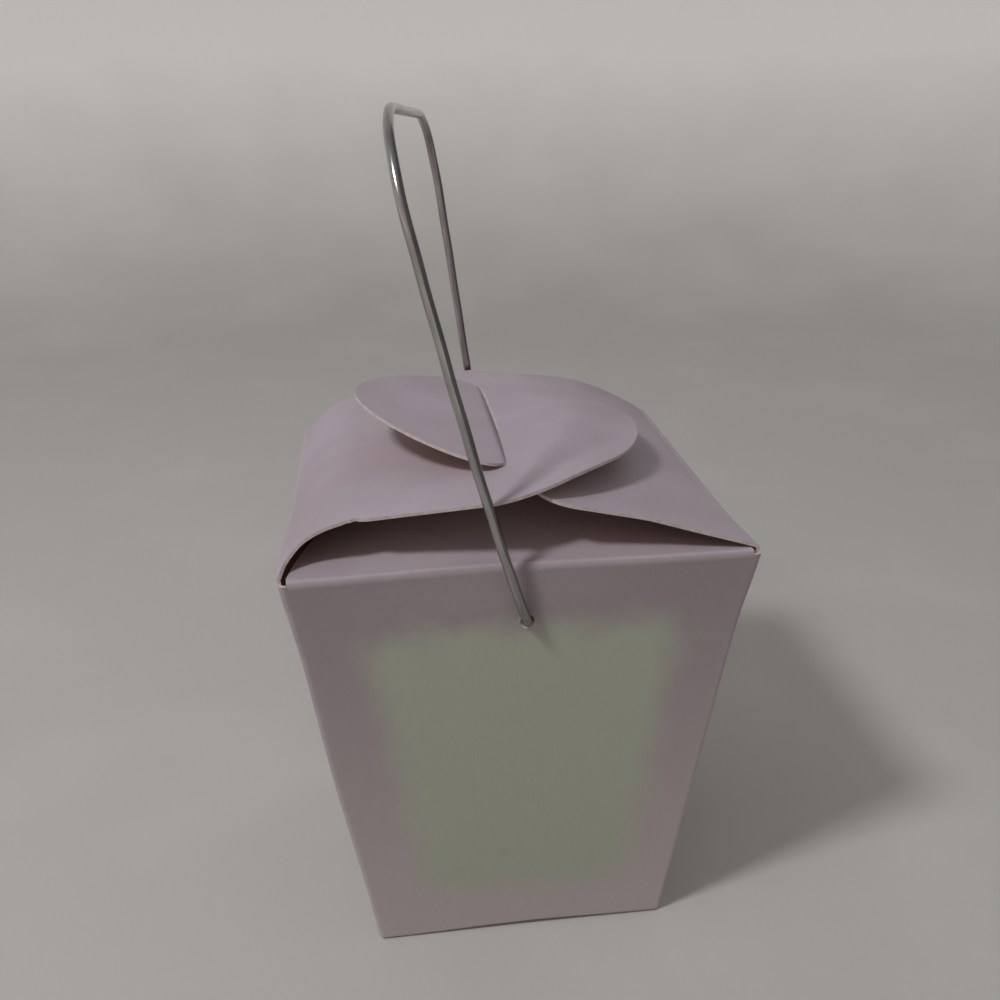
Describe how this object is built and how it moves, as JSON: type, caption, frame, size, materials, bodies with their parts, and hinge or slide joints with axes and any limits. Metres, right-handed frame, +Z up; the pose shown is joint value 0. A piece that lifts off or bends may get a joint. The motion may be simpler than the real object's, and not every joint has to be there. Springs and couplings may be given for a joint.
{
  "type": "treat box",
  "caption": "Tapered square card treat box, closed on top by a tongue pushed up through a slit in the opposite flap, with a wire bail handle that swings over it.",
  "frame": {"origin": "middle of the base, on the surface that the box stands on", "axes": "+Z up; +X to the right along the front wall, from the slit flap's side to the tongue flap's side; +Y from the front wall to the back wall"},
  "size_m": [0.0699, 0.0746, 0.1399],
  "materials": {
    "printed_card": "matte",
    "steel_wire": "satin"
  },
  "bodies": {
    "carton": {"carton": "printed_card"},
    "handle": {"wire_handle": "steel_wire"}
  },
  "joints": [
    {"name": "handle_swing", "type": "hinge", "parent": "carton", "child": "handle", "pos_m": [0.0005, 0, 0.0675], "axis": [0, 1, 0], "range_deg": [-138, 158]}
  ]
}
